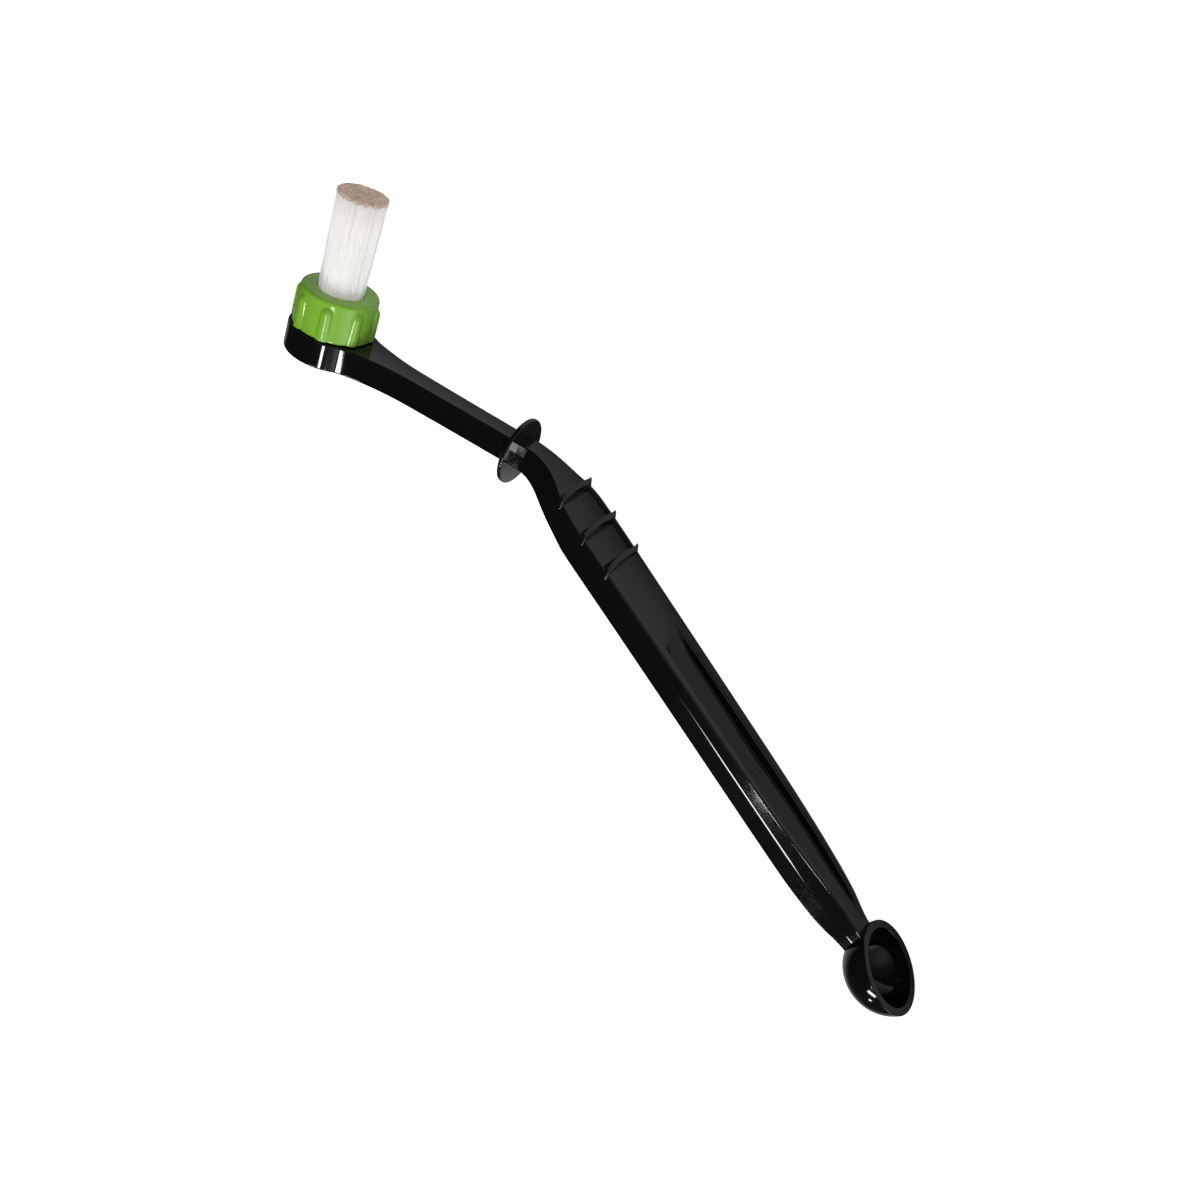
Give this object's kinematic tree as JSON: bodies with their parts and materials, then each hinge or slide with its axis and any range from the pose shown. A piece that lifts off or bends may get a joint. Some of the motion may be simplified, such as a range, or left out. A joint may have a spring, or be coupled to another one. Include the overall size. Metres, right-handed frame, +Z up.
{
  "type": "coffee machine cleaning brush",
  "caption": "Long moulded handle with a screw-on round tuft brush at one end and a small powder scoop at the other, for scrubbing a coffee machine's brewing head.",
  "frame": {"origin": "centre of the bounding box in plan, at its lowest plane: the counter the tool lies on", "axes": "+Z up from the counter; +X from the brush head towards the scoop; +Y along the bristles, from their roots to their tips. The tool lies on its side, held with its neck parallel to the counter."},
  "size_m": [0.2196, 0.1238, 0.0234],
  "materials": {
    "handle_plastic": "polished black moulding",
    "collar_plastic": "satin green moulding",
    "insert_plastic": "off-white moulding, mostly hidden",
    "bristle_nylon": "white nylon filament, stained brown at the tips",
    "anchor_wire": "flat staple wire, hidden"
  },
  "bodies": {
    "handle": {"handle": "handle_plastic"},
    "brush": {"bristle_holder": "insert_plastic", "bristle_tuft_01": "bristle_nylon", "bristle_tuft_02": "bristle_nylon", "bristle_tuft_03": "bristle_nylon", "bristle_tuft_04": "bristle_nylon", "bristle_tuft_05": "bristle_nylon", "bristle_tuft_06": "bristle_nylon", "bristle_tuft_07": "bristle_nylon", "bristle_tuft_08": "bristle_nylon", "bristle_tuft_09": "bristle_nylon", "bristle_tuft_10": "bristle_nylon", "bristle_tuft_11": "bristle_nylon", "bristle_tuft_12": "bristle_nylon", "bristle_tuft_13": "bristle_nylon", "bristle_tuft_14": "bristle_nylon", "bristle_tuft_15": "bristle_nylon", "bristle_tuft_16": "bristle_nylon", "bristle_tuft_17": "bristle_nylon", "bristle_tuft_18": "bristle_nylon", "bristle_tuft_19": "bristle_nylon", "tuft_anchor_01": "anchor_wire", "tuft_anchor_02": "anchor_wire", "tuft_anchor_03": "anchor_wire", "tuft_anchor_04": "anchor_wire", "tuft_anchor_05": "anchor_wire", "tuft_anchor_06": "anchor_wire", "tuft_anchor_07": "anchor_wire", "tuft_anchor_08": "anchor_wire", "tuft_anchor_09": "anchor_wire", "tuft_anchor_10": "anchor_wire", "tuft_anchor_11": "anchor_wire", "tuft_anchor_12": "anchor_wire", "tuft_anchor_13": "anchor_wire", "tuft_anchor_14": "anchor_wire", "tuft_anchor_15": "anchor_wire", "tuft_anchor_16": "anchor_wire", "tuft_anchor_17": "anchor_wire", "tuft_anchor_18": "anchor_wire", "tuft_anchor_19": "anchor_wire"},
    "collar": {"collar_nut": "collar_plastic"}
  },
  "joints": [
    {"name": "brush_lift", "type": "slide", "parent": "handle", "child": "brush", "axis": [0, 1, 0], "range_m": [0, 0.0055]},
    {"name": "collar_turn", "type": "hinge", "parent": "brush", "child": "collar", "pos_m": [-0.09868, 0.02598, 0.0117], "axis": [0, 1, 0], "range_deg": [0, 900]}
  ],
  "couplings": [
    {"joint": "brush_lift", "follows": "collar_turn", "m_per_rad": 0.00031831}
  ]
}
